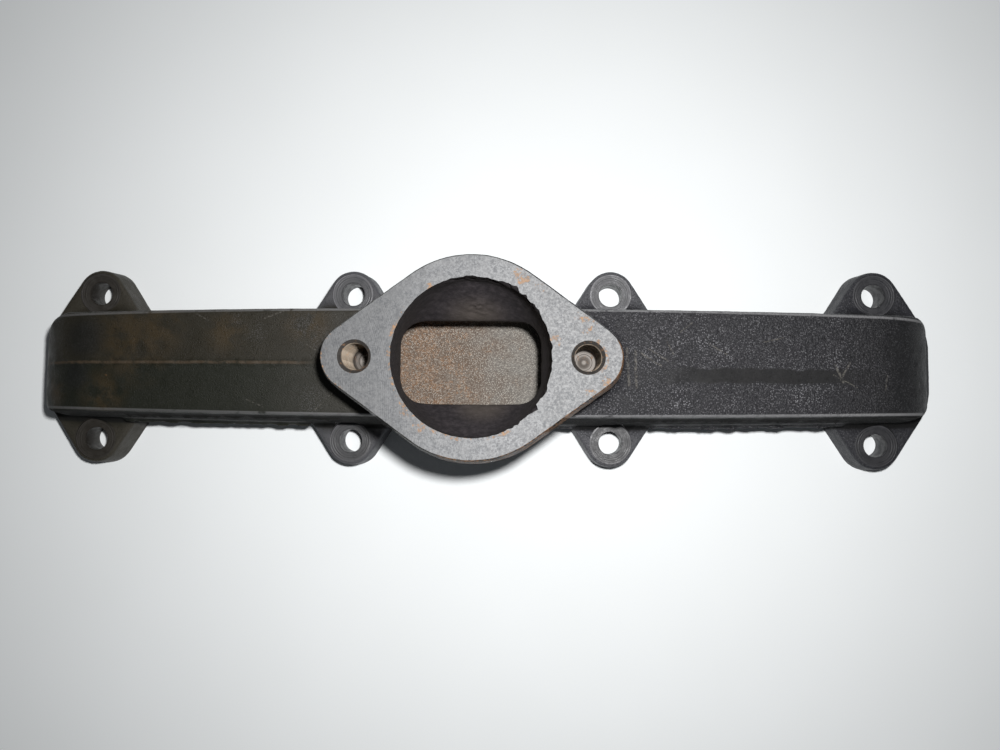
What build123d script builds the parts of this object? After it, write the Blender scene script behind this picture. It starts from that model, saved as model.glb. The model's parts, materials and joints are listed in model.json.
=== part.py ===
from build123d import *
from math import radians, sin
import os

# Four-port log exhaust manifold: one black iron casting, modelled as the sections it is cast in.
# The port faces lie on Z = 0, X runs along the log, Y across it, and Z points out of the outlet.
# The origin is the middle of the port-face plane. All sizes are in millimetres.

# Port flanges, one for each cylinder
port_pitch = 118.0
port_count = 4
port_bore_diameter = 34.0
port_flange_radius = 24.0
port_flange_shoulder = 9.0
port_flange_thickness = 14.0
port_flange_edge_radius = 1.5
stud_span = 67.2
stud_hole_diameter = 10.5
stud_lug_radius = 10.7
spotface_diameter = 18.8
spotface_depth = 1.0

# Log: the long hollow body that collects the four ports
log_end_beyond_port = 21.8
log_top_height = 50.0
log_wall = 5.0
parting_height = 22.0
log_width_at_parting = 52.0
log_end_narrowing = 4.0
log_top_width = 44.8
log_base_width = 48.0
end_corner_radius = 12.5
roof_edge_radius = 4.0
core_edge_radius = 3.0
flat_beyond_ears = 2.55
arm_end_slope = 7.0
elbow_radius = 36.0
joint_beyond_port_flange = 4.0
flash_width = 1.5
flash_thickness = 2.5

# Outlet: a two-stud flange on a short neck that narrows to the throat in the log's roof
outlet_face_height = 78.0
outlet_flange_thickness = 12.0
outlet_bore_diameter = 61.4
outlet_rim_width = 8.5
ear_reach = 13.75
ear_radius = 13.0
neck_wall = 6.0
neck_foot_depth = 14.0
neck_foot_overhang = 1.1
throat_length = 58.0
throat_ledge = 0.4
throat_offset = -2.0
throat_corner_radius = 10.0
tap_drill_diameter = 10.2
tapped_depth = 26.0
tap_chamfer = 1.2

# Places and sizes worked out from those above
port_positions = [(index - (port_count - 1) / 2) * port_pitch for index in range(port_count)]
stud_offsets = [-stud_span / 2, stud_span / 2]
outlet_bore_radius = outlet_bore_diameter / 2
ear_positions = {"left": -outlet_bore_radius - ear_reach, "right": outlet_bore_radius + ear_reach}
log_end = port_positions[-1] + log_end_beyond_port
top_flat_end = ear_positions["right"] + ear_radius + flat_beyond_ears
centre_section_end = port_positions[port_count // 2] + port_flange_radius + joint_beyond_port_flange
elbow_start = port_positions[-1] - port_flange_radius
flange_underside = outlet_face_height - outlet_flange_thickness
throat_width = log_top_width - 2 * (log_wall + throat_ledge)

os.makedirs("parts", exist_ok=True)


def write(part, name):
    """Label a finished section and write it to its own file."""
    part.label = name
    export_step(part, f"parts/{name}.step")


# Port flanges: a broad pad round the bore, drawn in to a stud lug on each side, spot-faced for
# the nuts
def port_flange(position):
    with BuildPart() as flange:
        with BuildSketch(Plane.XY):
            with Locations((position, -port_flange_shoulder), (position, port_flange_shoulder)):
                Circle(port_flange_radius)
            with Locations(*[(position, offset) for offset in stud_offsets]):
                Circle(stud_lug_radius)
            make_hull()
        extrude(amount=port_flange_thickness)
        fillet(flange.faces().sort_by(Axis.Z)[-1].edges(), port_flange_edge_radius)
        with Locations(Plane.XY.offset(port_flange_thickness)):
            with Locations(*[(position, offset) for offset in stud_offsets]):
                CounterBoreHole(stud_hole_diameter / 2, spotface_diameter / 2, spotface_depth)
            with Locations((position, 0)):
                Hole(port_bore_diameter / 2)
    return flange.part


for number, position in enumerate(port_positions, start=1):
    write(port_flange(position), f"port_flange_{number}")


# The log's outline from above, at a height and moved inwards from the parting line's outline by
# inset: its long sides bow out by the end narrowing, and its corners are round
def plan_outline(height, inset):
    half_length = log_end - inset
    middle = log_width_at_parting / 2 - inset
    end = middle - log_end_narrowing / 2
    with BuildSketch(Plane.XY.offset(height)) as plan:
        with BuildLine():
            ThreePointArc((-half_length, -end), (0, -middle), (half_length, -end))
            Line((half_length, -end), (half_length, end))
            ThreePointArc((half_length, end), (0, middle), (-half_length, end))
            Line((-half_length, end), (-half_length, -end))
        make_face()
        fillet(plan.vertices(), end_corner_radius)
    return plan.sketch


# The log's outline from the side, moved inwards by inset: flat under the outlet, arched along the
# arms until it slopes by arm_end_slope degrees, then turned down by an elbow over each outer port
def side_outline(inset):
    half_length = log_end - inset
    roof = log_top_height - inset
    floor = port_flange_thickness + inset
    elbow = elbow_radius - inset
    arch = elbow + (half_length - elbow - top_flat_end) / sin(radians(arm_end_slope))
    with BuildSketch(Plane.XZ.offset(-log_width_at_parting)) as side:
        with BuildLine():
            Line((0, roof), (top_flat_end, roof))
            bend = JernArc((top_flat_end, roof), (1, 0), arch, -arm_end_slope)
            turn = JernArc(bend @ 1, bend % 1, elbow, arm_end_slope - 90)
            Line(turn @ 1, (half_length, floor - elbow))
            Line((half_length, floor - elbow), (0, floor - elbow))
            Line((0, floor - elbow), (0, roof))
        make_face()
        mirror(about=Plane.YZ)
    return side.sketch


# A solid of the log's shape, moved inwards by inset: its walls lean in from the parting line to
# the roof above and to the floor below, and the edges round the roof are rounded
def log_solid(inset, edge_radius):
    roof_lean = (log_width_at_parting - log_top_width) / 2
    floor_lean = (log_width_at_parting - log_base_width) / 2
    with BuildPart() as solid:
        add(plan_outline(port_flange_thickness + inset, floor_lean + inset))
        add(plan_outline(parting_height, inset))
        add(plan_outline(log_top_height, roof_lean + inset))
        loft(ruled=True)
        extrude(side_outline(inset), amount=2 * log_width_at_parting, mode=Mode.INTERSECT)
        roof_edges = solid.edges().filter_by(
            lambda edge: edge.center().Z > parting_height and abs(edge.center().Y) > end_corner_radius)
        fillet(roof_edges, edge_radius)
    return solid.part


log_outside = log_solid(0, roof_edge_radius)
log_core = log_solid(log_wall, core_edge_radius)

with BuildPart() as log_shell:
    add(log_outside)
    add(log_core, mode=Mode.SUBTRACT)
    with BuildSketch(Plane.XY.offset(log_top_height)):
        with Locations((throat_offset, 0)):
            RectangleRounded(throat_length, throat_width, throat_corner_radius)
    extrude(amount=-2 * log_wall, mode=Mode.SUBTRACT)
    with BuildSketch(Plane.XY.offset(port_flange_thickness)):
        with Locations(*[(x, 0) for x in port_positions]):
            Circle(port_bore_diameter / 2)
    extrude(amount=2 * log_wall, mode=Mode.SUBTRACT)


# One length of the log between two places along X
def log_section(start, end):
    with BuildPart() as section:
        add(log_shell.part)
        with Locations(((start + end) / 2, 0, log_top_height / 2)):
            Box(end - start, 2 * log_width_at_parting, 2 * log_top_height, mode=Mode.INTERSECT)
    return section.part


log_sections = {
    "end_elbow_left": (-log_end, -elbow_start),
    "log_arm_left": (-elbow_start, -centre_section_end),
    "log_centre": (-centre_section_end, centre_section_end),
    "log_arm_right": (centre_section_end, elbow_start),
    "end_elbow_right": (elbow_start, log_end),
}
for name, (start, end) in log_sections.items():
    write(log_section(start, end), name)


# Casting flash left along the parting line on the stud-side wall, between the port flanges
def flash_strip(start, end):
    with BuildPart() as strip:
        with BuildSketch(Plane.XY.offset(parting_height - flash_thickness)):
            with Locations(((start + end) / 2, 0)):
                Rectangle(end - start, log_width_at_parting + 2 * flash_width)
        extrude(amount=flash_thickness)
        with BuildSketch(Plane.XY.offset(parting_height - flash_thickness)):
            with Locations(((start + end) / 2, log_width_at_parting)):
                Rectangle(end - start, 2 * log_width_at_parting)
        extrude(amount=flash_thickness, mode=Mode.SUBTRACT)
        add(log_outside, mode=Mode.SUBTRACT)
    return strip.part


flash_names = ["side_flash_left", "side_flash_centre", "side_flash_right"]
for name, before, after in zip(flash_names, port_positions, port_positions[1:]):
    write(flash_strip(before + port_flange_radius, after - port_flange_radius), name)

# Neck: a round mouth under the outlet flange drawn in to the throat's rounded rectangle, whose
# outside runs down over the edges of the log's roof and into its side walls. The throat lies a
# little to the left of the mouth, where its core shifted in the mould
with BuildPart() as neck_outside:
    with BuildSketch(Plane.XY.offset(log_top_height - neck_foot_depth)):
        RectangleRounded(throat_length + 2 * neck_wall, log_top_width + 2 * neck_foot_overhang,
                         throat_corner_radius + neck_wall)
    with BuildSketch(Plane.XY.offset(flange_underside)):
        Circle(outlet_bore_radius + neck_wall)
    loft()

with BuildPart() as neck_inside:
    with BuildSketch(Plane.XY.offset(log_top_height)):
        with Locations((throat_offset, 0)):
            RectangleRounded(throat_length, throat_width, throat_corner_radius)
    with BuildSketch(Plane.XY.offset(flange_underside)):
        Circle(outlet_bore_radius)
    loft()

# Drill for the threads, from the outlet face down through the ears and into their bosses
with BuildPart() as tapping_drill:
    with BuildSketch(Plane.XY.offset(outlet_face_height)):
        with Locations(*[(ear_x, 0) for ear_x in ear_positions.values()]):
            Circle(tap_drill_diameter / 2)
    extrude(amount=-tapped_depth)

with BuildPart() as outlet_neck:
    add(neck_outside.part)
    add(neck_inside.part, mode=Mode.SUBTRACT)
    add(log_outside, mode=Mode.SUBTRACT)
    add(tapping_drill.part, mode=Mode.SUBTRACT)
write(outlet_neck.part, "outlet_neck")


# Ear bosses: solid columns from the log's roof to the flange, for the depth of the tapped holes
def ear_boss(ear_x):
    with BuildPart() as boss:
        with BuildSketch(Plane.XY.offset(log_top_height)):
            with Locations((ear_x, 0)):
                Circle(ear_radius)
            with Locations((ear_x / 2, 0)):
                Rectangle(ear_radius, 2 * ear_radius)
            make_hull()
        extrude(amount=flange_underside - log_top_height)
        add(neck_outside.part, mode=Mode.SUBTRACT)
        add(tapping_drill.part, mode=Mode.SUBTRACT)
    return boss.part


for side, ear_x in ear_positions.items():
    write(ear_boss(ear_x), f"ear_boss_{side}")

# Outlet flange: the machined plate that the exhaust pipe bolts to
with BuildPart() as outlet_flange:
    with BuildSketch(Plane.XY.offset(flange_underside)):
        Circle(outlet_bore_radius + outlet_rim_width)
        with Locations(*[(ear_x, 0) for ear_x in ear_positions.values()]):
            Circle(ear_radius)
        make_hull()
    extrude(amount=outlet_flange_thickness)
    with Locations(Plane.XY.offset(outlet_face_height)):
        Hole(outlet_bore_radius)
    add(tapping_drill.part, mode=Mode.SUBTRACT)
    face_rims = outlet_flange.faces().sort_by(Axis.Z)[-1].edges().filter_by(GeomType.CIRCLE)
    chamfer(face_rims.filter_by(lambda rim: rim.radius == tap_drill_diameter / 2), tap_chamfer)
write(outlet_flange.part, "outlet_flange")
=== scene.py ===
import json
import math

import bmesh
import bpy
import numpy as np
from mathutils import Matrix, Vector, noise


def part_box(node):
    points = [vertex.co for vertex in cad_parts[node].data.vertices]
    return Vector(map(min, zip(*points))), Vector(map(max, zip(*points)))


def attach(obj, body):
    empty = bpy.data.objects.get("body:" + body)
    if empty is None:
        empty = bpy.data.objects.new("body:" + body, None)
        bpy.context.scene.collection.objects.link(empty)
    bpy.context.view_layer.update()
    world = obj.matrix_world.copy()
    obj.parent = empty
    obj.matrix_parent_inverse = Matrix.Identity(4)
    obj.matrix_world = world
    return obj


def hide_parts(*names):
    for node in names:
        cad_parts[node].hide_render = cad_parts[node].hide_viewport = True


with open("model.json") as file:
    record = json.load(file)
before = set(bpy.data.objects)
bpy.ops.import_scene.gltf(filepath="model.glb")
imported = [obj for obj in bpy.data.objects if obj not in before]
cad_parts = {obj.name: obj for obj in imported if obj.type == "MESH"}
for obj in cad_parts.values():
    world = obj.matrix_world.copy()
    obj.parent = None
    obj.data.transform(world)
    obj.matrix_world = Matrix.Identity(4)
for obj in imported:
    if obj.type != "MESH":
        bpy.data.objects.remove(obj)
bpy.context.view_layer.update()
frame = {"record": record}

MM = 0.001


# The log
# The long hollow body of the manifold, flat on top under the outlet, arched along both arms and
# turned down over the outer ports. Grey iron, cast in sand, so its pattern is a plain solid here.
log_low, log_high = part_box("log_centre")
ROOF = log_high[2]
FLOOR = log_low[2]
ROUGH_ALLOWANCE = 1.2 * MM
LOG_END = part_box("end_elbow_right")[1][0] + ROUGH_ALLOWANCE
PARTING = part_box("side_flash_centre")[1][2]
PARTING_HALF_WIDTH = log_high[1]
END_NARROWING = 3.0 * MM
ROOF_LEAN = 3.6 * MM
FLOOR_LEAN = 2.0 * MM
END_CORNER = 16 * MM
BACK_CORNER = 24 * MM
ROOF_EDGE = 1.3 * MM
FLOOR_EDGE = 2.5 * MM
FULL_EDGE_HEIGHT = 14 * MM
FLAT_BEYOND_EARS = 2.55 * MM
FLAT_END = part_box("ear_boss_right")[1][0] + FLAT_BEYOND_EARS
ELBOW = 36 * MM
ARM_SLOPE = math.radians(7)
WALL = 5 * MM


def roof_height(x, inset=0.0):
    """Height of the log's roof at x, for the outside or for a shape set in from it."""
    elbow = ELBOW - inset
    end = LOG_END - inset
    arch = elbow + (end - elbow - FLAT_END) / math.sin(ARM_SLOPE)
    bend = FLAT_END + arch * math.sin(ARM_SLOPE)
    roof = ROOF - inset
    x = min(abs(x), end)
    if x <= FLAT_END:
        return roof
    if x <= bend:
        return roof - arch + math.sqrt(arch ** 2 - (x - FLAT_END) ** 2)
    elbow_centre = roof - arch + arch * math.cos(ARM_SLOPE) - elbow * math.cos(ARM_SLOPE)
    return elbow_centre + math.sqrt(max(elbow ** 2 - (x - end + elbow) ** 2, 0.0))


def half_width(x, inset=0.0, corner=END_CORNER):
    """Half the log's width at the parting line at x."""
    end = LOG_END - inset
    width = PARTING_HALF_WIDTH - inset - END_NARROWING * (x / LOG_END) ** 2
    past = max(abs(x) - end + corner, 0.0)
    return width - corner + math.sqrt(max(corner ** 2 - past ** 2, 0.0))


def rounded(corners, steps=5):
    """Points round a polygon of (u, v, radius) corners, each corner an arc of that radius."""
    points = []
    for before, corner, after in zip(corners[-1:] + corners[:-1], corners, corners[1:] + corners[:1]):
        here = Vector(corner[:2])
        back = (Vector(before[:2]) - here).normalized()
        ahead = (Vector(after[:2]) - here).normalized()
        half = back.angle(ahead) / 2
        reach = corner[2] / math.tan(half)
        middle = here + (back + ahead).normalized() * corner[2] / math.sin(half)
        start = (here + back * reach - middle).normalized()
        finish = (here + ahead * reach - middle).normalized()
        for step in range(steps):
            points.append(middle + corner[2] * start.slerp(finish, step / (steps - 1)))
    return points


def log_ring(x, inset=0.0):
    """The log's cross-section at x: walls lean in above and below the parting line."""
    roof = roof_height(x, inset)
    floor = FLOOR + inset
    parting = min(PARTING, (roof + floor) / 2)
    lean = ROOF_LEAN * (roof - parting) / (ROOF - PARTING)
    edge = min(1.0, (roof - floor) / FULL_EDGE_HEIGHT)
    floor_lean = 0.0 if inset else FLOOR_LEAN
    sides = []
    for corner in (BACK_CORNER if x < 0 else END_CORNER, END_CORNER):
        width = half_width(x, inset, corner)
        sides.append([(width - floor_lean, floor, FLOOR_EDGE * edge), (width, parting, FLOOR_EDGE * edge),
                      (width - lean, roof, ROOF_EDGE * edge)])
    front = [(-u, v, radius) for u, v, radius in reversed(sides[1])]
    return [(x, u, v) for u, v in rounded(sides[0] + front)]


def skin(name, rings):
    """A closed mesh through rings of points, with both ends filled."""
    count = len(rings[0])
    mesh = bpy.data.meshes.new(name)
    faces = [tuple(reversed(range(count))), tuple(range((len(rings) - 1) * count, len(rings) * count))]
    for ring in range(len(rings) - 1):
        for i in range(count):
            j = (i + 1) % count
            a, b = ring * count, (ring + 1) * count
            faces.append((a + i, a + j, b + j, b + i))
    mesh.from_pydata([point for ring in rings for point in ring], [], faces)
    sheet = bmesh.new()
    sheet.from_mesh(mesh)
    bmesh.ops.recalc_face_normals(sheet, faces=sheet.faces)
    sheet.to_mesh(mesh)
    sheet.free()
    piece = bpy.data.objects.new(name, mesh)
    bpy.context.scene.collection.objects.link(piece)
    return piece


ARM_RINGS = 61
ELBOW_RINGS = 22
ELBOW_TURN = 82
LEAST_HEIGHT = 0.8 * MM


def log_stations(inset):
    """Places along X for the log's rings: even along the arms, close together round the elbows."""
    end = LOG_END - inset
    arm = list(np.linspace(-(end - ELBOW), end - ELBOW, ARM_RINGS))
    turns = np.radians(np.linspace(0, ELBOW_TURN, ELBOW_RINGS)[1:])
    elbow = [end - ELBOW + ELBOW * math.sin(turn) for turn in turns]
    elbow = [x for x in elbow if x < end and roof_height(x, inset) > FLOOR + inset + LEAST_HEIGHT]
    return [-x for x in reversed(elbow)] + arm + elbow


patterns = [skin("log_pattern", [log_ring(x) for x in log_stations(0.0)])]


# Port flanges
# Four flat plates under the log, each with a lug on either side for a cylinder head stud. Cast
# with the log, so their pattern has drafted edges and runs past the port face for grinding.
port_boxes = [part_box(f"port_flange_{number}") for number in range(1, 5)]
PORTS = [(low[0] + high[0]) / 2 for low, high in port_boxes]
PORT_RADIUS = (port_boxes[0][1][0] - port_boxes[0][0][0]) / 2
PORT_TOP = port_boxes[0][1][2]
LUG_RADIUS = 10.7 * MM
PORT_SHOULDER = 9 * MM
mounts = {mount["name"]: mount for mount in frame["record"]["mounts"]}
STUD_REACH = mounts["port_studs_1"]["dims"]["spacing_y_mm"] / 2 * MM
STUD_RADIUS = mounts["port_studs_1"]["dims"]["hole_r_mm"] * MM
DIRECTIONS = [2 * math.pi * step / 120 for step in range(120)]


def hull_ring(circles, height, grow=0.0):
    """Points round the outline that holds all the (x, y, radius) circles, at one height."""
    points = []
    for angle in DIRECTIONS:
        u, v = math.cos(angle), math.sin(angle)
        x, y, radius = max(circles, key=lambda c: c[0] * u + c[1] * v + c[2])
        points.append((x + (radius + grow) * u, y + (radius + grow) * v, height))
    return points


# Heights over the port face and how far the drafted edge stands out there, in millimetres.
PORT_FLANGE_EDGE = [(-2.0, 0.9), (0.0, 0.8), (PORT_TOP / MM - 1.4, 0.1), (PORT_TOP / MM - 0.6, -0.15),
                    (PORT_TOP / MM - 0.15, -0.6), (PORT_TOP / MM, -1.1)]
for number, port in enumerate(PORTS, start=1):
    circles = [(port, side * PORT_SHOULDER, PORT_RADIUS) for side in (-1, 1)]
    circles += [(port, side * STUD_REACH, LUG_RADIUS) for side in (-1, 1)]
    rings = [hull_ring(circles, height * MM, grow * MM) for height, grow in PORT_FLANGE_EDGE]
    patterns.append(skin(f"port_flange_pattern_{number}", rings))


# Outlet
# A funnel-shaped neck rises from the log's roof to a two-eared flange; a solid boss under each ear
# gives the stud threads their depth. All cast with the log.
face_low, face_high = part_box("outlet_flange")
FACE = face_high[2]
FLANGE_UNDERSIDE = face_low[2]
BORE_RADIUS = mounts["outlet_bore"]["dims"]["r_mm"] * MM
RIM_RADIUS = face_high[1]
EAR = mounts["outlet_stud_right"]["pos_m"][0]
EAR_RADIUS = face_high[0] - EAR
NECK_WALL = 6 * MM
NECK_OVERHANG = 1.1 * MM
NECK_FOOT = ROOF - 14 * MM
THROAT_HALF_LENGTH = 29 * MM
THROAT_HALF_WIDTH = 17 * MM
THROAT_CORNER = 10 * MM
THROAT_OFFSET = -2 * MM
MILLING_ALLOWANCE = 2 * MM


def funnel_ring(height, low, high, foot, mouth_radius, offset=0.0):
    """A rounded rectangle (half length, half width, corner) at low drawn into a circle at high."""
    share = min(max((height - low) / (high - low), 0.0), 1.0)
    length, width, corner = foot
    middle = offset * (1 - share)
    radius = corner + (mouth_radius - corner) * share
    x = (length - corner) * (1 - share)
    y = (width - corner) * (1 - share)
    return hull_ring([(middle + sx * x, sy * y, radius) for sx in (-1, 1) for sy in (-1, 1)], height)


neck_foot = (THROAT_HALF_LENGTH + NECK_WALL, PARTING_HALF_WIDTH - ROOF_LEAN + NECK_OVERHANG,
             THROAT_CORNER + NECK_WALL)
patterns.append(skin("neck_pattern", [
    funnel_ring(height, NECK_FOOT, FLANGE_UNDERSIDE, neck_foot, BORE_RADIUS + NECK_WALL)
    for height in np.linspace(NECK_FOOT, FLANGE_UNDERSIDE + 2 * MM, 24)]))

BOSS_DRAFT = [(ROOF - 3 * MM, 1.4 * MM), (ROOF, 0.9 * MM), (FLANGE_UNDERSIDE + 2 * MM, -0.2 * MM)]
for side in (-1, 1):
    boss = [(side * EAR, 0, EAR_RADIUS), (side * EAR * 0.6, 0, EAR_RADIUS)]
    patterns.append(skin(f"ear_boss_pattern_{side}", [hull_ring(boss, *level) for level in BOSS_DRAFT]))

# Heights over the flange's underside and how far its drafted edge stands out, in millimetres.
OUTLET_FLANGE_EDGE = [(0.0, 0.2), (0.4, 1.1), (1.4, 1.6), (7.0, 0.9), (11.5, 0.25), (12.0, -0.3),
                      (12.0 + MILLING_ALLOWANCE / MM, -1.8)]
ears = [(0, 0, RIM_RADIUS), (EAR, 0, EAR_RADIUS), (-EAR, 0, EAR_RADIUS)]
patterns.append(skin("outlet_flange_pattern", [
    hull_ring(ears, FLANGE_UNDERSIDE + height * MM, grow * MM) for height, grow in OUTLET_FLANGE_EDGE]))


# Casting flash and seams
# Thin ragged fins where the halves of the mould met: a broken one along the parting line on the
# stud side, a beaded one above it, and a low seam along the crown of the left arm.
def wander(x, seed, step):
    """A steady random walk between -1 and 1 along x."""
    return noise.noise(Vector((x / step, seed, 0.37)))


FIN_STATION = 0.7 * MM
FIN_RUN_OUT = 3 * MM


def fin(name, start, finish, half_thickness, inner, outer, seed, ragged, step):
    """A fin along X from inner to outer, each a function of x giving (y, z), ragged outside."""
    rings = []
    for x in np.linspace(start, finish, max(int((finish - start) / FIN_STATION), 4)):
        y0, z0 = inner(x)
        y1, z1 = outer(x)
        fade = min(1.0, (x - start) / FIN_RUN_OUT, (finish - x) / FIN_RUN_OUT)
        reach = fade * (1 + ragged * wander(x, seed, step) + 0.5 * ragged * wander(x, seed + 5, step / 3))
        y1, z1 = y0 + (y1 - y0) * reach, z0 + (z1 - z0) * reach
        along = Vector((y1 - y0, z1 - z0))
        across = Vector((-along.y, along.x)).normalized() * half_thickness
        rings.append([(x, y0 + across.x, z0 + across.y), (x, y0 - across.x, z0 - across.y),
                      (x, y1 - 0.6 * across.x, z1 - 0.6 * across.y),
                      (x, y1 + 0.6 * across.x, z1 + 0.6 * across.y)])
    return skin(name, rings)


def wall_at(x, height):
    """Half the log's width at x and a height above the parting line."""
    return half_width(x) - ROOF_LEAN * (height - PARTING) / (ROOF - PARTING)


def bead_line(x, stand_out, drop):
    """A point beside the front wall at x, below the roof's edge: how far it stands out, and its drop."""
    return -wall_at(x, roof_height(x) - BEAD_DROP) - stand_out, roof_height(x) - drop


def crown_line(x, height):
    """A point on the wandering seam along the crown, at a height over the roof."""
    return SEAM_Y + 0.4 * MM * wander(x, 3, 30 * MM), roof_height(x) + height


FLASH_REACH = -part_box("side_flash_centre")[0][1] - PARTING_HALF_WIDTH
BEAD_DROP = 10 * MM
SEAM_Y = -0.5 * MM
fins = []
for number, (before, after) in enumerate(zip(PORTS, PORTS[1:])):
    fins.append(fin(
        f"parting_flash_{number}", before + PORT_RADIUS * 0.6, after - PORT_RADIUS * 0.6, 1.1 * MM,
        lambda x: (-half_width(x) + 1.5 * MM, PARTING - 1.2 * MM),
        lambda x: (-half_width(x) - FLASH_REACH, PARTING - 1.6 * MM), 11 + number, 0.22, 4.5 * MM))
for side in (-1, 1):
    start, finish = sorted((side * (FLAT_END - 4 * MM), side * (PORTS[3] - 22 * MM)))
    fins.append(fin(
        f"bead_{side}", start, finish, 0.7 * MM,
        lambda x: bead_line(x, -1 * MM, BEAD_DROP), lambda x: bead_line(x, 0.9 * MM, BEAD_DROP + 0.3 * MM),
        31 + side, 0.5, 2.2 * MM))
fins.append(fin(
    "crown_seam", -LOG_END + 10 * MM, -FLAT_END + 2 * MM, 0.8 * MM,
    lambda x: crown_line(x, -1 * MM), lambda x: crown_line(x, 0.5 * MM), 47, 0.3, 3 * MM))


# Pouring
# The patterns become one iron body: every inside corner gets a cast fillet and the whole skin
# takes the grain of the sand.
def settle(piece):
    """Replaces a piece's mesh by what its modifiers make of it."""
    graph = bpy.context.evaluated_depsgraph_get()
    mesh = bpy.data.meshes.new_from_object(piece.evaluated_get(graph))
    piece.modifiers.clear()
    piece.data = mesh


def remesh(piece, size):
    """An even skin of small quads over the piece, without what lies inside it."""
    cover = piece.modifiers.new("cover", "REMESH")
    cover.mode = "VOXEL"
    cover.voxel_size = size
    settle(piece)


def points_and_normals(piece):
    count = len(piece.data.vertices)
    points = np.empty(count * 3)
    normals = np.empty(count * 3)
    piece.data.vertices.foreach_get("co", points)
    piece.data.vertices.foreach_get("normal", normals)
    return points.reshape(-1, 3), normals.reshape(-1, 3)


def move_points(piece, points):
    piece.data.vertices.foreach_set("co", points.ravel())
    piece.data.update()


def swell(piece, distance):
    points, normals = points_and_normals(piece)
    move_points(piece, points + normals * distance)


def relax(piece, rounds):
    """Evens out the skin, as metal fills a mould's sharp edges only roughly."""
    smooth = piece.modifiers.new("relax", "SMOOTH")
    smooth.factor = 0.5
    smooth.iterations = rounds
    settle(piece)


def join(body, others):
    with bpy.context.temp_override(active_object=body, selected_editable_objects=[body, *others]):
        bpy.ops.object.join()


def fuse(name, parts, thin_parts, coarse, fine, fillet):
    """Joins closed parts into one body with a fillet in every inside corner, then adds the thin ones."""
    body = parts[0]
    body.name = name
    join(body, parts[1:])
    crisp = body.copy()
    crisp.data = body.data.copy()
    bpy.context.scene.collection.objects.link(crisp)
    remesh(body, coarse)
    swell(body, fillet)
    remesh(body, coarse)
    swell(body, -fillet)
    join(body, [crisp, *thin_parts])
    remesh(body, fine)
    relax(body, 2)
    return body


def grain(piece, roughness):
    """Moves each point along its normal by roughness(point), in metres."""
    points, normals = points_and_normals(piece)
    depth = np.array([roughness(Vector(point)) for point in points])
    move_points(piece, points + normals * depth[:, None])


def sand_skin(point):
    """Sand grain: shallow swells with finer lumps on them, coarser on the right arm."""
    x = point.x / MM
    coarse = 0.5 + 0.5 * math.tanh(x / 60)
    swells = noise.fractal(point / (9 * MM), 1.0, 2.0, 2)
    lumps = noise.fractal(point / (2.1 * MM), 1.0, 2.0, 2)
    return (0.10 * swells + (0.035 + 0.045 * coarse) * lumps) * MM


COARSE = 1.2 * MM
FINE = 0.75 * MM
CAST_FILLET = 4.2 * MM
casting = fuse("casting", patterns, fins, COARSE, FINE, CAST_FILLET)
grain(casting, sand_skin)


# Sand core
# The baked sand body that leaves the gas way: log, throat, neck and four ports in one. It makes a
# rougher skin than the mould, and a ragged rim where the milled face cuts through the mouth.
PORT_BORE = 17 * MM
throat = (THROAT_HALF_LENGTH, THROAT_HALF_WIDTH, THROAT_CORNER)
core_parts = [skin("log_core", [log_ring(x, WALL) for x in log_stations(WALL)])]
core_parts.append(skin("throat_core", [
    funnel_ring(height, ROOF - 2 * MM, FLANGE_UNDERSIDE + 1 * MM, throat, BORE_RADIUS, THROAT_OFFSET)
    for height in np.linspace(ROOF - 12 * MM, FACE + 6 * MM, 40)]))
for number, port in enumerate(PORTS, start=1):
    core_parts.append(skin(f"port_core_{number}", [
        hull_ring([(port, 0, PORT_BORE)], height)
        for height in np.linspace(-6 * MM, FLOOR + WALL + 2 * MM, 16)]))

TORN_RIM = [math.radians(angle) for angle in (92, 57, 38, 2, -36, -52)]
TORN_DEPTH = 7 * MM
WALL_SCAR = Vector((1, 22, 55)) * MM
SCAR_REACH = 8 * MM
CORE_FILLET = 1.6 * MM


def core_skin(point):
    """Baked sand: grains about a millimetre across with washed-out patches between them."""
    swells = noise.fractal(point / (7 * MM), 1.0, 2.0, 2)
    lumps = noise.fractal(point / (1.7 * MM), 1.0, 2.0, 2)
    chips = 0.55 * max(noise.noise(point / (4.2 * MM)) - 0.25, 0.0)
    if point.z > FACE - TORN_DEPTH:
        angle = math.atan2(point.y, point.x)
        worn = sum(max(math.cos(angle - place), 0.0) ** 24 for place in TORN_RIM)
        chips += 1.5 * worn * max(noise.noise(point / (2.4 * MM)) + 0.15, 0.0)
    scar = max(1 - (point - WALL_SCAR).length / SCAR_REACH, 0.0)
    chips += 1.4 * scar * noise.noise(point / (1.9 * MM))
    return (0.16 * swells + 0.12 * lumps + chips) * MM


core = fuse("core", core_parts, [], COARSE, 1.2 * FINE, CORE_FILLET)
grain(core, core_skin)


# Cast skin
# Black, thinly painted iron skin as it came from sand: brownish and smooth on the left arm, coarse on the
# right with painted highlights glinting on its grain, where a band along the crown was ground smooth.
def node(tree, kind, inputs=None, **settings):
    """Adds a shader node. inputs gives sockets a value, or another node's output to follow."""
    made = tree.nodes.new("ShaderNode" + kind)
    for name, value in settings.items():
        setattr(made, name, value)
    for key, value in (inputs or {}).items():
        if isinstance(value, bpy.types.NodeSocket):
            tree.links.new(value, made.inputs[key])
        else:
            made.inputs[key].default_value = value
    return made


def value_of(tree, operation, first, second=0.0):
    return node(tree, "Math", {0: first, 1: second}, operation=operation).outputs[0]


def times(tree, *values):
    """The product of several values or masks."""
    total = values[0]
    for value in values[1:]:
        total = value_of(tree, "MULTIPLY", total, value)
    return total


def plus(tree, first, second):
    return value_of(tree, "ADD", first, second)


def minus(tree, first, second):
    return value_of(tree, "SUBTRACT", first, second)


def highest(tree, *values):
    """The strongest of several masks."""
    total = values[0]
    for value in values[1:]:
        total = value_of(tree, "MAXIMUM", total, value)
    return total


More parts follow.
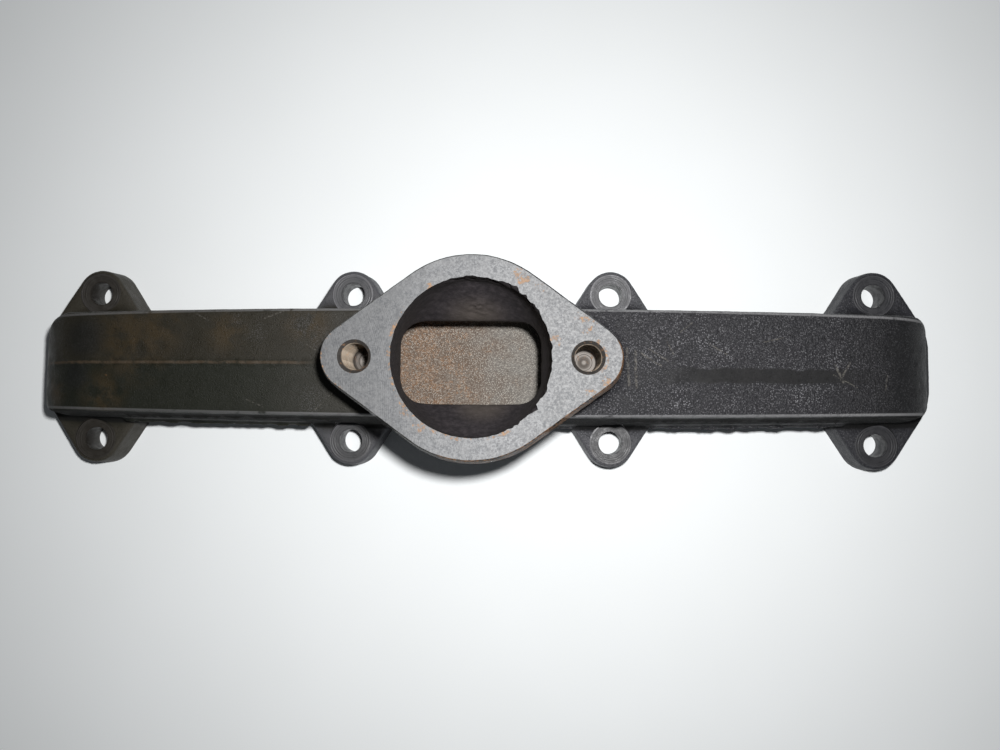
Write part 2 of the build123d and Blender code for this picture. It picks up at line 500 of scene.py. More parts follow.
def between(tree, value, low, high, bottom=0.0, top=1.0):
    """A value drawn out smoothly from low..high to bottom..top, and level beyond them."""
    return node(tree, "MapRange", {0: value, 1: low, 2: high, 3: bottom, 4: top},
                interpolation_type="SMOOTHSTEP").outputs[0]


def opaque(colour):
    """A plain colour with its alpha, or another node's colour as it is."""
    return (*colour, 1) if isinstance(colour, tuple) else colour


def blend(tree, share, under, over):
    """The colour over on the colour under, by share."""
    return node(tree, "Mix", {0: share, 6: opaque(under), 7: opaque(over)}, data_type="RGBA").outputs[2]


def tint(tree, under, mask, strength, over):
    """Lays the colour over on the colour under where the mask says, at most by strength."""
    return blend(tree, times(tree, mask, strength), under, over)


def speckle(tree, place, size, detail=2.0, roughness=0.5):
    """Noise with lumps about size millimetres across."""
    return node(tree, "TexNoise", {"Vector": place, "Scale": 1 / size, "Detail": detail,
                                   "Roughness": roughness}).outputs[0]


def across_places(tree, operation, first, second, output=0):
    """One step of arithmetic on two places."""
    return node(tree, "VectorMath", {0: first, 1: second}, operation=operation).outputs[output]


def near(tree, place, spots, soft=0.5):
    """A mask that is one at the (x, y, z, reach) spots, in millimetres, and fades out at their reach."""
    masks = []
    for x, y, z, reach in spots:
        away = across_places(tree, "DISTANCE", place, (x, y, z), "Value")
        masks.append(between(tree, away, reach * soft, reach, 1.0, 0.0))
    return highest(tree, *masks)


def effect(name, inputs, outputs):
    """Starts a node group and returns it with its own input and output nodes."""
    made = bpy.data.node_groups.new(name, "ShaderNodeTree")
    for label, kind, start in inputs:
        socket = made.interface.new_socket(label, in_out="INPUT", socket_type="NodeSocket" + kind)
        if start is not None:
            socket.default_value = start
    for label, kind in outputs:
        made.interface.new_socket(label, in_out="OUTPUT", socket_type="NodeSocket" + kind)
    return made, made.nodes.new("NodeGroupInput").outputs, made.nodes.new("NodeGroupOutput").inputs


def use(tree, group, inputs):
    return node(tree, "Group", inputs, node_tree=group).outputs


def new_material(name):
    """A material, its nodes, and where a point is on the manifold in millimetres, whole and split."""
    made = bpy.data.materials.new(name)
    made.use_nodes = True
    tree = made.node_tree
    place = node(tree, "VectorMath", {0: node(tree, "TexCoord").outputs["Object"], 3: 1 / MM},
                 operation="SCALE").outputs[0]
    return made, tree, place, *node(tree, "SeparateXYZ", {0: place}).outputs[:3]


def surface(material, colour, roughness, height, depth, metallic=0.0):
    """Closes a material with its colour, roughness and bumps, and returns its shader's sockets."""
    tree = material.node_tree
    sockets = tree.nodes["Principled BSDF"].inputs
    for socket, value in (("Base Color", colour), ("Roughness", roughness), ("Metallic", metallic)):
        if isinstance(value, bpy.types.NodeSocket):
            tree.links.new(value, sockets[socket])
        else:
            sockets[socket].default_value = value
    bump = node(tree, "Bump", {"Height": height, "Distance": depth, "Strength": 1.0})
    tree.links.new(bump.outputs[0], sockets["Normal"])
    return sockets


# Sand grain: what the mould leaves on every cast surface, with lumps, painted shade in the pits between them,
# painted highlights on the high spots and small painted glints. Grain is the size of its lumps.
sand_grain, given, out = effect(
    "sand_grain", [("Place", "Vector", None), ("Grain", "Float", 1.0)],
    [("Height", "Float"), ("Lit High Spots", "Float"), ("Pit Shade", "Float"), ("Glint Highlights", "Float")])
grain_size = node(sand_grain, "CombineXYZ", {0: given["Grain"], 1: given["Grain"], 2: given["Grain"]})
sized = across_places(sand_grain, "DIVIDE", given["Place"], grain_size.outputs[0])
lumps = speckle(sand_grain, sized, 0.8, 3.0, 0.6)
fine_lumps = speckle(sand_grain, sized, 0.33, 2.0, 0.6)
cells = node(sand_grain, "TexVoronoi", {"Vector": sized, "Scale": 2.2}).outputs
grains = cells["Distance"]
chosen = node(sand_grain, "SeparateXYZ", {0: cells["Color"]}).outputs[0]
glint_highlights = times(sand_grain, between(sand_grain, chosen, 0.15, 0.80), between(sand_grain, grains, 0.55, 0.20))
rise = plus(sand_grain, times(sand_grain, lumps, 0.6), times(sand_grain, fine_lumps, 0.4))
rise = minus(sand_grain, rise, times(sand_grain, grains, 0.22))
# Outputs: the bumps' height, painted highlights on the high spots, painted shade in the pits, and painted
# glint highlights on single grains.
sand_grain.links.new(rise, out["Height"])
sand_grain.links.new(between(sand_grain, rise, 0.40, 0.56), out["Lit High Spots"])
sand_grain.links.new(between(sand_grain, rise, 0.34, 0.20), out["Pit Shade"])
sand_grain.links.new(glint_highlights, out["Glint Highlights"])

# Rust bloom: patchy brown rust with orange hearts, wherever Exposure lets it start.
DARK_RUST = (0.10, 0.045, 0.02)
ORANGE_RUST = (0.36, 0.19, 0.09)
rust_bloom, given, out = effect("rust_bloom", [("Place", "Vector", None), ("Exposure", "Float", 0.5)],
                                [("Rust", "Float"), ("Rust Colour", "Color")])
patches = speckle(rust_bloom, given["Place"], 5.0, 4.0, 0.65)
freckles = speckle(rust_bloom, given["Place"], 1.1, 3.0, 0.6)
patchy = plus(rust_bloom, times(rust_bloom, patches, 0.55), times(rust_bloom, freckles, 0.45))
threshold = minus(rust_bloom, 0.82, times(rust_bloom, given["Exposure"], 0.45))
rust_bloom.links.new(between(rust_bloom, minus(rust_bloom, patchy, threshold), -0.04, 0.07), out["Rust"])
rust_bloom.links.new(blend(rust_bloom, between(rust_bloom, freckles, 0.35, 0.65), DARK_RUST, ORANGE_RUST),
                     out["Rust Colour"])

# Scratch: a wavering mark seen from above, from Start to End.
scratch, given, out = effect(
    "scratch", [("Place", "Vector", None), ("Start", "Vector", None), ("End", "Vector", None),
                ("Width", "Float", 0.4)], [("Mark", "Float")])
flat_place = across_places(scratch, "MULTIPLY", given["Place"], (1, 1, 0))
along = across_places(scratch, "SUBTRACT", given["End"], given["Start"])
from_start = across_places(scratch, "SUBTRACT", flat_place, given["Start"])
travelled = value_of(scratch, "DIVIDE", across_places(scratch, "DOT_PRODUCT", from_start, along, "Value"),
                     across_places(scratch, "DOT_PRODUCT", along, along, "Value"))
travelled = node(scratch, "Clamp", {0: travelled}).outputs[0]
nearest = node(scratch, "VectorMath", {0: along, 3: travelled}, operation="SCALE").outputs[0]
off_line = across_places(scratch, "DISTANCE", from_start, nearest, "Value")
waver = times(scratch, speckle(scratch, given["Place"], 1.2, 3.0), 0.8)
off_line = value_of(scratch, "DIVIDE", plus(scratch, off_line, minus(scratch, waver, 0.4)), given["Width"])
broken = between(scratch, speckle(scratch, given["Place"], 0.9, 2.0), 0.35, 0.6)
scratch.links.new(times(scratch, between(scratch, off_line, 1.0, 0.3), broken), out["Mark"])

# Places are (x, y, z, reach) in millimetres, and scratches (x0, y0, x1, y1, width).
BROWN_PATCHES = [(-146, 8, 46, 24), (-134, 14, 47, 16), (-158, -14, 43, 15), (-70, 16, 50, 14),
                 (-104, 12, 48, 13), (-182, -12, 35, 12)]
ELBOW_SHADE_PATCHES = [(-168, 10, 42, 13), (-171, -6, 41, 9)]
GLINT_CLUSTERS = [(72, 4, 50, 8), (84, 12, 50, 6), (95, 9, 49, 7), (101, 6, 49, 5), (148, 2, 47, 6),
           (-100, 18, 48, 5), (-92, 12, 49, 7), (-72, 15, 50, 9), (-64, 9, 50, 9), (-68, -16, 50, 9),
           (84, -15, 50, 8), (134, -13, 48, 10)]
SCRATCHES = [(68, 4, 76, -1, 0.6), (71, 6, 79, 1, 0.5), (78, 10, 81, 4, 0.4), (96, 8, 103, 4, 0.5),
             (84, 13, 89, 17, 0.4), (148, 0, 151, -7, 0.7), (154, 1, 150, -6, 0.6), (147, -4, 157, -9, 0.4),
             (62, 6, 63, -9, 0.8), (65.5, 5, 66, -10, 0.8), (170, -4, 169, -10, 0.4), (118, 9, 126, 11, 0.4),
             (-88, 18, -80, 21, 0.5), (-62, 2, -70, 7, 0.4), (-66, -20, -58, -12, 0.4),
             (-95, -16, -88, -19, 0.4), (-118, 20, -112, 17, 0.4)]
OLIVE_BLACK = (0.0100, 0.0112, 0.0070)
BROWN_BLACK = (0.0190, 0.0165, 0.0105)
WARM_GREY = (0.028, 0.026, 0.0215)
OIL_BROWN = (0.042, 0.029, 0.0135)
ELBOW_SHADE = (0.008, 0.0085, 0.0085)
BLUE_BLACK = (0.020, 0.020, 0.0235)
END_SHADE_BLACK = (0.011, 0.0112, 0.012)
GROUND_BLACK = (0.0125, 0.0125, 0.0130)
LUG_GREY = (0.080, 0.081, 0.090)
LUG_BROWN = (0.036, 0.032, 0.024)
LUG_BLACK = (0.026, 0.0265, 0.032)
GLINT_HIGHLIGHT = (0.20, 0.20, 0.215)
PIT_SHADE = (0.004, 0.004, 0.004)
EDGE_HIGHLIGHT = (0.25, 0.25, 0.26)
SHADE_BLACK = (0.005, 0.005, 0.005)
SEAM_BROWN = (0.060, 0.043, 0.028)
BARE_SCRATCH = (0.17, 0.16, 0.145)
PORT_PITCH = (PORTS[1] - PORTS[0]) / MM

cast_skin, tree, place, x, y, z = new_material("black_cast_skin")
clouds = speckle(tree, place, 28, 3.0)
right = between(tree, plus(tree, x, times(tree, clouds, 50)), 0, 60)
grain_of = use(tree, sand_grain, {"Place": place, "Grain": between(tree, right, 0, 1, 0.9, 1.35)})
on_top = between(tree, z, 24, 34)
wobble = times(tree, minus(tree, speckle(tree, place, 7, 3.0, 0.6), 0.5), 4.5)
wobbly_x = plus(tree, x, wobble)

# Left arm: olive black in front of the seam and brown black behind it, with oil on it and painted shade where
# its elbow turns down.
left_skin = blend(tree, between(tree, plus(tree, y, wobble), -2, 2), OLIVE_BLACK, BROWN_BLACK)
left_skin = tint(tree, left_skin, between(tree, x, -100, -55), 0.7, WARM_GREY)
oily = times(tree, near(tree, place, BROWN_PATCHES, 0.1),
             between(tree, speckle(tree, place, 9, 4.0, 0.6), 0.35, 0.6))
left_skin = tint(tree, left_skin, oily, 0.75, OIL_BROWN)
left_skin = tint(tree, left_skin, near(tree, place, ELBOW_SHADE_PATCHES, 0.3), 0.7, ELBOW_SHADE)

# Right arm: blue black, with painted shade darkening its end, darker where the crown was ground, and grey on
# the lugs below.
band_y = value_of(tree, "ABSOLUTE", plus(tree, plus(tree, y, 4.8), wobble))
ground = times(tree, between(tree, band_y, 3.6, 2.4), between(tree, wobbly_x, 60, 98),
               between(tree, wobbly_x, 174, 142), on_top)
far_end_shade = between(tree, x, 130, 185)
skin_colour = blend(tree, right, left_skin, BLUE_BLACK)
skin_colour = tint(tree, skin_colour, far_end_shade, 0.8, END_SHADE_BLACK)
skin_colour = tint(tree, skin_colour, ground, 0.85, GROUND_BLACK)
outer_lugs = between(tree, value_of(tree, "ABSOLUTE", x), 90, 150)
lug_colour = blend(tree, outer_lugs, LUG_GREY, blend(tree, right, LUG_BROWN, LUG_BLACK))
skin_colour = blend(tree, between(tree, z, 17, 13), skin_colour, lug_colour)

# Painted highlights glinting on the grain's facets, denser in a few clusters, and painted shade in its pits.
glint_clusters = near(tree, place, GLINT_CLUSTERS, 0.2)
thick = between(tree, speckle(tree, place, 6, 3.0), 0.35, 0.6, 0.35, 0.9)
glint_highlight = times(tree, grain_of["Glint Highlights"], plus(tree, thick, times(tree, glint_clusters, 0.4)),
              plus(tree, between(tree, right, 0, 1, 0.08, 0.8), times(tree, glint_clusters, 0.2)),
              between(tree, ground, 0, 1, 1.0, 0.06), between(tree, far_end_shade, 0, 1, 1.0, 0.35))
skin_colour = tint(tree, skin_colour, glint_highlight, 0.9, GLINT_HIGHLIGHT)
skin_colour = tint(tree, skin_colour, grain_of["Pit Shade"], 0.7, PIT_SHADE)

# The roof's edges carry a painted highlight, and painted shade lies on the front wall and in the corner below
# it.
narrowing = times(tree, value_of(tree, "POWER", value_of(tree, "DIVIDE", x, 199.0), 2.0), 2.6)
narrowed = plus(tree, value_of(tree, "ABSOLUTE", y), narrowing)
roof_edge_highlight = times(tree, between(tree, narrowed, 21.2, 21.7), between(tree, narrowed, 22.7, 22.3),
                  between(tree, z, 28, 34), between(tree, speckle(tree, place, 4, 3.0), 0.2, 0.45),
                  between(tree, x, -140, 20, 0.4, 1.0))
skin_colour = tint(tree, skin_colour, roof_edge_highlight, 0.7, EDGE_HIGHLIGHT)
from_port = node(tree, "Math", {0: x, 1: PORT_PITCH}, operation="PINGPONG").outputs[0]
over_port = value_of(tree, "ABSOLUTE", minus(tree, from_port, PORT_PITCH / 2))
shaded_heights = highest(tree, between(tree, z, 24, 28), between(tree, z, 17.5, 15.5),
                       between(tree, over_port, 19, 15))
# Painted shade on the front wall and in the corner on the port flanges below it; the same place is also made
# duller.
front_wall_shade = times(tree, between(tree, narrowed, 22.6, 23.1), between(tree, narrowed, 28.8, 27.4),
                   between(tree, y, 0, -5), shaded_heights)
skin_colour = tint(tree, skin_colour, front_wall_shade, 0.85, SHADE_BLACK)

# The seam along the left crown, scratches through to the iron, and rust under the outlet's rim.
seam_y = value_of(tree, "ABSOLUTE", plus(tree, minus(tree, y, SEAM_Y / MM), times(tree, wobble, 0.2)))
seam = times(tree, between(tree, seam_y, 0.95, 0.2), between(tree, x, -64, -78), on_top,
             between(tree, speckle(tree, place, 2.5, 3.0), 0.25, 0.55))
skin_colour = tint(tree, skin_colour, seam, 0.8, SEAM_BROWN)
rubbed = highest(tree, *(
    use(tree, scratch, {"Place": place, "Start": (x0, y0, 0), "End": (x1, y1, 0), "Width": width})[0]
    for x0, y0, x1, y1, width in SCRATCHES))
bare = times(tree, rubbed, on_top, between(tree, right, 0, 1, 0.35, 0.5))
skin_colour = blend(tree, bare, skin_colour, BARE_SCRATCH)
rim_rust = times(tree, between(tree, z, 65, 67), between(tree, minus(tree, times(tree, x, 0.6), y), 14, 34))
exposure = plus(tree, times(tree, rim_rust, 0.75), times(tree, between(tree, clouds, 0.5, 0.7), 0.4))
bloom = use(tree, rust_bloom, {"Place": place, "Exposure": exposure})
rusty = times(tree, bloom["Rust"], between(tree, rim_rust, 0, 1, 0.3, 0.75))
skin_colour = blend(tree, rusty, skin_colour, bloom["Rust Colour"])

dull = between(tree, speckle(tree, place, 6, 3.0), 0.3, 0.7, 0.44, 0.60)
dull = plus(tree, plus(tree, dull, times(tree, ground, 0.22)), times(tree, front_wall_shade, 0.4))
bumps = times(tree, minus(tree, grain_of["Height"], 0.38), between(tree, right, 0, 1, 0.6, 1.2),
              between(tree, ground, 0, 1, 1.0, 0.15))
bumps = minus(tree, bumps, times(tree, rubbed, 0.3))
surface(cast_skin, skin_colour, dull, bumps, 0.55 * MM)["Specular IOR Level"].default_value = 0.25
casting.data.materials.append(cast_skin)


# Core skin
# The bare inside of the casting, rough from the baked core: brown rust lies along its floor, with painted
# highlights and painted shade on its grains, and the walls of the neck and the surfaces facing down are dark
# with soot and painted shade.
RUSTY_BROWN = (0.136, 0.098, 0.074)
RUSTY_GREY = (0.178, 0.168, 0.155)
WALL_SOOT_AND_SHADE = (0.0125, 0.010, 0.0125)
WALL_GREY = (0.034, 0.0285, 0.032)
LIP_BROWN = (0.17, 0.14, 0.115)
THROAT_LIPS = [(0, 18, 50, 17), (3, -18, 49, 15)]
core_surface, tree, place, x, y, z = new_material("rusty_gas_way")
grain_of = use(tree, sand_grain, {"Place": place, "Grain": 1.0})
facing = node(tree, "SeparateXYZ", {0: node(tree, "NewGeometry").outputs["Normal"]}).outputs[2]
floor_share = times(tree, between(tree, facing, -0.6, 0.1), between(tree, z, 38, 30))
bloom = use(tree, rust_bloom, {"Place": place, "Exposure": between(tree, x, -30, 30, 0.75, 0.35)})
patchy_x = plus(tree, x, times(tree, speckle(tree, place, 7, 3.0), 60))
floor_colour = blend(tree, between(tree, patchy_x, 10, 60), RUSTY_BROWN, RUSTY_GREY)
floor_colour = tint(tree, floor_colour, bloom["Rust"], 0.38, bloom["Rust Colour"])
# Painted highlights on the high spots and glints of the floor's grains, and painted shade in its pits.
floor_colour = tint(tree, floor_colour, grain_of["Lit High Spots"], 0.3, (0.42, 0.38, 0.33))
floor_colour = tint(tree, floor_colour, grain_of["Glint Highlights"], 0.75, (0.56, 0.53, 0.48))
floor_colour = tint(tree, floor_colour, grain_of["Pit Shade"], 0.7, (0.06, 0.04, 0.03))
wall_colour = blend(tree, between(tree, speckle(tree, place, 2.2, 4.0, 0.7), 0.35, 0.7), WALL_SOOT_AND_SHADE, WALL_GREY)
wall_colour = tint(tree, wall_colour, near(tree, place, THROAT_LIPS, 0.15), 0.28, LIP_BROWN)
core_bumps = times(tree, grain_of["Height"], between(tree, floor_share, 0, 1, 0.4, 1.0))
surface(core_surface, blend(tree, floor_share, wall_colour, floor_colour), 0.8, core_bumps, 0.6 * MM)
core.data.materials.append(core_surface)


# Milled iron
# Where a face mill or a grinder has cut through the skin: grey iron with fine arcs across it, and
# rust starting at the rims where the coolant stood.
tool_marks, given, out = effect(
    "tool_marks", [("Across", "Float", 0.0), ("Pitch", "Float", 0.4), ("Place", "Vector", None)],
    [("Lines", "Float"), ("Scuffs", "Float")])
turns = value_of(tool_marks, "DIVIDE", given["Across"], given["Pitch"])
lines = node(tool_marks, "TexNoise", {"W": turns, "Scale": 1.0, "Detail": 2.0}, noise_dimensions="1D")
tool_marks.links.new(lines.outputs[0], out["Lines"])
tool_marks.links.new(between(tool_marks, speckle(tool_marks, given["Place"], 3.5, 5.0, 0.7), 0.38, 0.62),
                     out["Scuffs"])


def hypotenuse(tree, first, second):
    squares = plus(tree, value_of(tree, "POWER", first, 2.0), value_of(tree, "POWER", second, 2.0))
    return value_of(tree, "SQRT", squares)


CUTTER_RADIUS = 95
CUTTER_OFFSET = 18
RUST_SPOTS = [(-23, -21, 78, 6), (-20, -27, 78, 6), (-10, -29, 78, 5), (-16, 27, 78, 3), (19, 31, 78, 6),
              (26, 27, 78, 5), (43, 13, 78, 8), (51, -10, 78, 6), (45, -14, 78, 5), (-56, 4, 78, 4),
              (32, 6, 78, 5)]
milled_iron, tree, place, x, y, z = new_material("milled_iron")
sweep = value_of(tree, "POWER", plus(tree, y, CUTTER_OFFSET), 2.0)
sweep = value_of(tree, "SQRT", minus(tree, CUTTER_RADIUS ** 2, sweep))
marks = use(tree, tool_marks, {"Across": minus(tree, x, sweep), "Pitch": 0.38, "Place": place})
pores = use(tree, sand_grain, {"Place": place, "Grain": 0.8})
iron = blend(tree, marks["Lines"], (0.070, 0.073, 0.079), (0.150, 0.155, 0.165))
tooth = between(tree, speckle(tree, place, 0.8, 3.0, 0.7), 0.42, 0.60)
iron = blend(tree, times(tree, tooth, between(tree, x, -40, 40, 0.28, 0.55)), iron, (0.34, 0.345, 0.355))
iron = tint(tree, iron, marks["Scuffs"], 0.45, (0.21, 0.212, 0.218))
# Painted shade in the pores.
iron = tint(tree, iron, pores["Pit Shade"], 0.25, (0.09, 0.088, 0.085))
toward_ears = between(tree, value_of(tree, "ABSOLUTE", x), 12, 36, 0.0, 0.32)
iron = blend(tree, toward_ears, iron, (0.045, 0.047, 0.050))
from_bore = hypotenuse(tree, x, y)
from_ear = across_places(tree, "DISTANCE", place, (EAR / MM, 0, FACE / MM), "Value")
from_left_ear = across_places(tree, "DISTANCE", place, (-EAR / MM, 0, FACE / MM), "Value")
west = between(tree, plus(tree, x, y), 8, -22)
rims = highest(
    tree, times(tree, between(tree, from_bore, 33.2, 31.7), between(tree, west, 0, 1, 0.25, 1.0)),
    times(tree, between(tree, from_ear, 11.4, 12.8), between(tree, x, 38, 44, 0.0, 0.8)),
    times(tree, between(tree, from_left_ear, 11.2, 12.8), between(tree, x, -46, -50)),
    times(tree, between(tree, from_ear, 8.8, 7.4), between(tree, x, 44, 48)),
    near(tree, place, RUST_SPOTS, 0.35))
bloom = use(tree, rust_bloom, {"Place": place, "Exposure": plus(tree, 0.08, times(tree, rims, 0.56))})
iron = tint(tree, iron, bloom["Rust"], 0.7, blend(tree, 0.5, bloom["Rust Colour"], (0.42, 0.25, 0.13)))
worn = times(tree, between(tree, x, 5, 35), between(tree, speckle(tree, place, 1.3, 4.0, 0.75), 0.5, 0.6))
iron = tint(tree, iron, worn, 0.35, (0.30, 0.30, 0.305))
dull = plus(tree, plus(tree, 0.52, times(tree, bloom["Rust"], 0.25)), times(tree, marks["Lines"], 0.12))
cut_depth = plus(tree, marks["Lines"], times(tree, marks["Scuffs"], 0.5))
cut_depth = minus(tree, cut_depth, times(tree, pores["Pit Shade"], 0.5))
surface(milled_iron, iron, dull, cut_depth, 0.05 * MM,
        metallic=minus(tree, 0.3, times(tree, bloom["Rust"], 0.3)))


# Spotfaced and drilled iron
# The seats for the stud nuts, painted over after cutting, and the drilled stud holes, with painted shade on
# their walls.
# The centre seats are lighter grey, the outer ones darker: black on the right, brown on the left.
drilled_iron, tree, place, x, y, z = new_material("spotfaced_iron")
from_port = node(tree, "Math", {0: x, 1: PORT_PITCH}, operation="PINGPONG").outputs[0]
ring = hypotenuse(tree, minus(tree, PORT_PITCH / 2, from_port),
                  minus(tree, value_of(tree, "ABSOLUTE", y), STUD_REACH / MM))
marks = use(tree, tool_marks, {"Across": ring, "Pitch": 0.55, "Place": place})
grain_of = use(tree, sand_grain, {"Place": place, "Grain": 0.9})
seat = blend(tree, marks["Lines"], (0.034, 0.035, 0.040), (0.078, 0.079, 0.086))
seat = tint(tree, seat, marks["Scuffs"], 0.3, (0.115, 0.115, 0.12))
seat = blend(tree, between(tree, ring, 8.2, 9.2), seat, (0.12, 0.12, 0.13))
seat = blend(tree, between(tree, y, -10, -30, 0.0, 0.5), seat, (0.02, 0.02, 0.021))
# Painted shade on the walls of the stud holes.
seat = blend(tree, between(tree, ring, 6.0, 5.4, 0.0, 0.8), seat, (0.022, 0.022, 0.025))
seat = blend(tree, between(tree, x, 90, 150, 0.0, 0.6), seat, (0.013, 0.0133, 0.017))
seat = blend(tree, between(tree, x, -90, -150, 0.0, 0.75), seat, (0.026, 0.021, 0.014))
surface(drilled_iron, seat, between(tree, marks["Scuffs"], 0, 1, 0.38, 0.55),
        plus(tree, marks["Lines"], grain_of["Height"]), 0.12 * MM, metallic=0.25)


# Tapped iron
# The two stud threads in the outlet ears: cut bright, then filmed with brown rust, with painted shade at the
# bottom of the hole and on the chamfer.
tapped_iron, tree, place, x, y, z = new_material("tapped_iron")
bloom = use(tree, rust_bloom, {"Place": place, "Exposure": 0.55})
marks = use(tree, tool_marks, {"Across": z, "Pitch": 0.3, "Place": place})
bright = blend(tree, marks["Lines"], (0.22, 0.18, 0.14), (0.46, 0.38, 0.30))
# Painted shade: darker towards the bottom of the hole and on the chamfer.
bright = blend(tree, between(tree, z, FACE / MM - 20, FACE / MM - 25), bright, (0.085, 0.073, 0.064))
bright = blend(tree, between(tree, z, FACE / MM - 2.0, FACE / MM - 1.0), bright, (0.050, 0.046, 0.043))
bright = tint(tree, bright, bloom["Rust"], 0.45, bloom["Rust Colour"])
surface(tapped_iron, bright, between(tree, bloom["Rust"], 0, 1, 0.5, 0.75), marks["Lines"], 0.05 * MM,
        metallic=0.25)


# Machining
# The core is knocked out, then the port faces and the outlet face are milled flat, the stud holes
# drilled and spotfaced, and the ears drilled and tapped M12 x 1.75.
def cut(piece, tool, material=None, way="DIFFERENCE"):
    """Takes the tool's shape out of the piece. The cut faces have the tool's material."""
    if material:
        tool.data.materials.append(material)
    cutter = piece.modifiers.new("cut", "BOOLEAN")
    cutter.operation = way
    cutter.solver = "MANIFOLD"
    cutter.material_mode = "TRANSFER"
    cutter.object = tool
    settle(piece)
    bpy.data.objects.remove(tool)


def block(name, low, high):
    """A closed block between two corners."""
    (x0, y0, z0), (x1, y1, z1) = low, high
    return skin(name, [[(x0, y0, h), (x1, y0, h), (x1, y1, h), (x0, y1, h)] for h in (z0, z1)])


def turned(name, x, y, profile, steps=96):
    """A closed turned tool standing at x, y, from (height, radius) or (height, radius by angle)."""
    rings = []
    for height, radius in profile:
        ring = []
        for step in range(steps):
            angle = 2 * math.pi * step / steps
            reach = radius(angle) if callable(radius) else radius
            ring.append((x + reach * math.cos(angle), y + reach * math.sin(angle), height))
        rings.append(ring)
    return skin(name, rings)


TAP_DRILL = 5.1 * MM
THREAD = 6.0 * MM
THREAD_PITCH = 1.75 * MM
TAP_DEPTH = 26 * MM
TAP_CHAMFER = 6.5 * MM
SPOTFACE = 9.4 * MM
SPOTFACE_DEPTH = 1 * MM
SPOTFACE_TRAVEL = 12 * MM
BEYOND = 0.3

# The ringed, flat end that the drill leaves: heights over the tapped depth and radii, in millimetres.
DRILL_END = [(-0.9, 0.5), (-0.9, 1.2), (-0.3, 2.0), (-0.3, 3.2), (0.0, 3.4), (0.0, 4.6),
             (0.5, TAP_DRILL / MM)]


def thread_radius(height):
    """The radius of the thread's groove at each angle, for one height."""
    def at(angle):
        turn = (height / THREAD_PITCH - angle / (2 * math.pi)) % 1
        groove = min(max(1.25 - abs(turn - 0.5) * 3.2, 0.0), 1.0)
        return TAP_DRILL + (THREAD - TAP_DRILL) * groove
    return at


def tap(side):
    """An M12 tap with its chamfer at the face and the flat, ringed end of the drilled hole."""
    bottom = FACE - TAP_DEPTH
    profile = [(bottom + height * MM, radius * MM) for height, radius in DRILL_END]
    profile += [(height, thread_radius(height))
                for height in np.arange(bottom + 3 * MM, FACE - 1.5 * MM, THREAD_PITCH / 9)]
    profile += [(FACE - 1.2 * MM, TAP_DRILL + 0.2 * MM), (FACE + 0.01 * MM, TAP_CHAMFER),
                (FACE + 3 * MM, TAP_CHAMFER)]
    return turned(f"tap_{side}", side * EAR, 0, profile)


cut(casting, core)
cut(casting, block("face_mill", (-BEYOND, -BEYOND, FACE), (BEYOND, BEYOND, FACE + BEYOND)), milled_iron)
cut(casting, block("port_mill", (-BEYOND, -BEYOND, -BEYOND), (BEYOND, BEYOND, 0)), milled_iron)
stud_drill = [(-2 * MM, STUD_RADIUS), (PORT_TOP + 4 * MM, STUD_RADIUS)]
spotface_cutter = [(PORT_TOP - SPOTFACE_DEPTH, SPOTFACE), (PORT_TOP + SPOTFACE_TRAVEL, SPOTFACE)]
for port in PORTS:
    for side in (-1, 1):
        for tool in (stud_drill, spotface_cutter):
            cut(casting, turned("cutter", port, side * STUD_REACH, tool), drilled_iron)
for side in (-1, 1):
    cut(casting, tap(side), tapped_iron)


# Naming the parts of the casting
# The one casting is divided where its named sections meet, so that each carries its own name.
# It is still one body: no section moves against another.
FLANGE_LEVEL = PORT_TOP + 4 * MM
NECK_LEVEL = ROOF + 2 * MM
OUTLET_LEVEL = FLANGE_UNDERSIDE - 3.5 * MM
FLANGE_REACH = PORT_RADIUS + 2 * MM
NECK_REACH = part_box("outlet_neck")[1][0] + 1 * MM
ARM_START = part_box("log_arm_right")[0][0]
ARM_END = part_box("log_arm_right")[1][0]
SMOOTH_ANGLE = math.radians(38)


def dress(piece, name, nodes):
    piece.name = name
    piece.data.polygons.foreach_set("use_smooth", [True] * len(piece.data.polygons))
    piece.data.set_sharp_from_angle(angle=SMOOTH_ANGLE)
    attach(piece, "root")
    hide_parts(*nodes)


def section(name, low, high, nodes):
    """Takes the part of the casting between two corners as a piece that stands for CAD nodes."""
    low = [-BEYOND if edge is None else edge for edge in low]
    high = [BEYOND if edge is None else edge for edge in high]
    piece = casting.copy()
    piece.data = casting.data.copy()
    piece.name = piece.data.name = name
    bpy.context.scene.collection.objects.link(piece)
    cut(piece, block("keep", low, high), cast_skin, "INTERSECT")
    cut(casting, block("take", low, high), cast_skin)
    dress(piece, name, nodes)


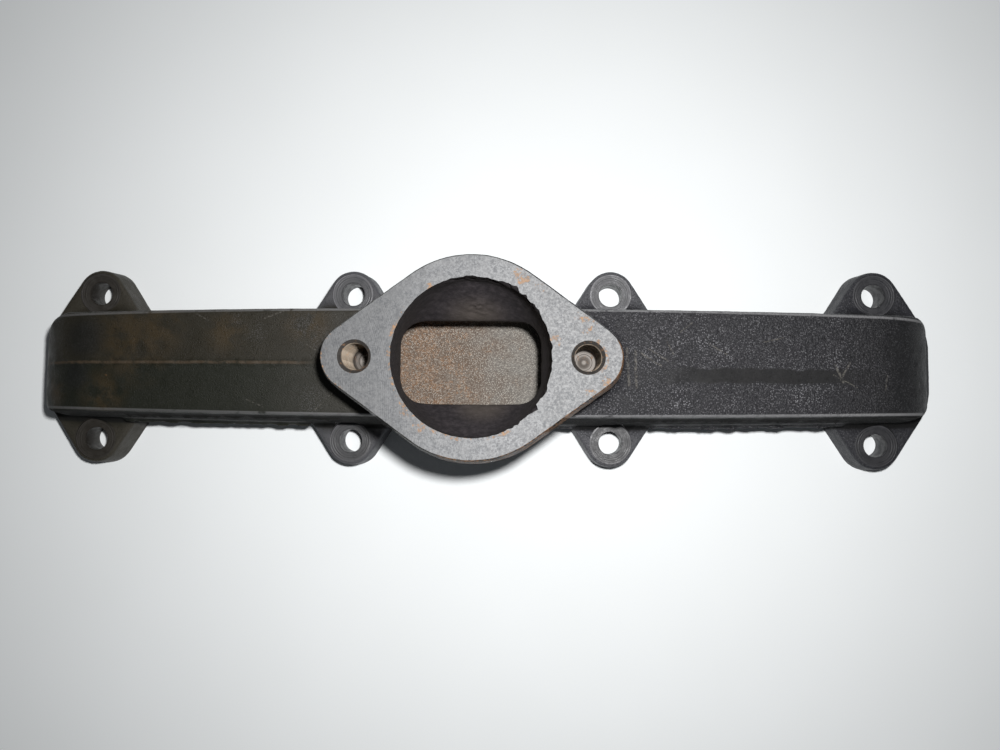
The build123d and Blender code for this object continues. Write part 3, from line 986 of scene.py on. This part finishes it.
# Where a corner has None, the section goes on to the end of the casting.
for number, port in enumerate(PORTS, start=1):
    section(f"port_flange_casting_{number}", (port - FLANGE_REACH, None, None),
            (port + FLANGE_REACH, None, FLANGE_LEVEL), [f"port_flange_{number}"])
section("outlet_flange_casting", (None, None, OUTLET_LEVEL), (None, None, None), ["outlet_flange"])
section("outlet_neck_casting", (-NECK_REACH, None, NECK_LEVEL), (NECK_REACH, None, None), ["outlet_neck"])
section("ear_boss_casting_left", (None, None, NECK_LEVEL), (0, None, None), ["ear_boss_left"])
section("ear_boss_casting_right", (0, None, NECK_LEVEL), (None, None, None), ["ear_boss_right"])
section("log_end_left", (None, None, None), (-ARM_END, None, None), ["end_elbow_left"])
section("log_end_right", (ARM_END, None, None), (None, None, None), ["end_elbow_right"])
section("log_arm_casting_left", (None, None, None), (-ARM_START, None, None),
        ["log_arm_left", "side_flash_left"])
section("log_arm_casting_right", (ARM_START, None, None), (None, None, None),
        ["log_arm_right", "side_flash_right"])
dress(casting, "log_centre_casting", ["log_centre", "side_flash_centre"])


# The table
# A broad sheet of white paper under the port faces.
grid = bmesh.new()
bmesh.ops.create_grid(grid, x_segments=8, y_segments=8, size=2.5)
table_mesh = bpy.data.meshes.new("paper")
grid.to_mesh(table_mesh)
grid.free()
table = bpy.data.objects.new("paper", table_mesh)
bpy.context.scene.collection.objects.link(table)
paper, tree, place, x, y, z = new_material("white_paper")
sheet = blend(tree, speckle(tree, place, 60, 2.0), (0.85, 0.88, 0.90), (0.885, 0.915, 0.94))
surface(paper, sheet, 0.85, speckle(tree, place, 0.8, 2.0), 0.02 * MM)
table.data.materials.append(paper)


# Light and camera
# One soft lamp a little right of and beyond the camera, and a pale room all round.
lamp = bpy.data.objects.new("soft_lamp", bpy.data.lights.new("soft_lamp", "AREA"))
lamp.data.shape = "DISK"
lamp.data.size = 0.024
lamp.data.energy = 1.89
lamp.data.color = (1.0, 0.99, 0.97)
lamp.location = (0.049, 0.013, 0.396)
lamp.rotation_euler = (Vector((0, 0, 0.03)) - lamp.location).to_track_quat("-Z", "Y").to_euler()
bpy.context.scene.collection.objects.link(lamp)
room = bpy.data.worlds.new("pale_room")
room.use_nodes = True
room.node_tree.nodes["Background"].inputs["Color"].default_value = (0.92, 0.96, 1.0, 1)
room.node_tree.nodes["Background"].inputs["Strength"].default_value = 0.06
bpy.context.scene.world = room
bpy.context.scene.view_settings.view_transform = "Standard"

camera = bpy.data.objects.new("camera", bpy.data.cameras.new("camera"))
camera.data.sensor_width = 36
camera.data.lens = 29.88
camera.data.clip_start = 0.01
camera.location = (0.02196, -0.02437, 0.39036)
camera.rotation_euler = [math.radians(turn) for turn in (3.242, 1.949, 0.502)]
bpy.context.scene.collection.objects.link(camera)
bpy.context.scene.camera = camera
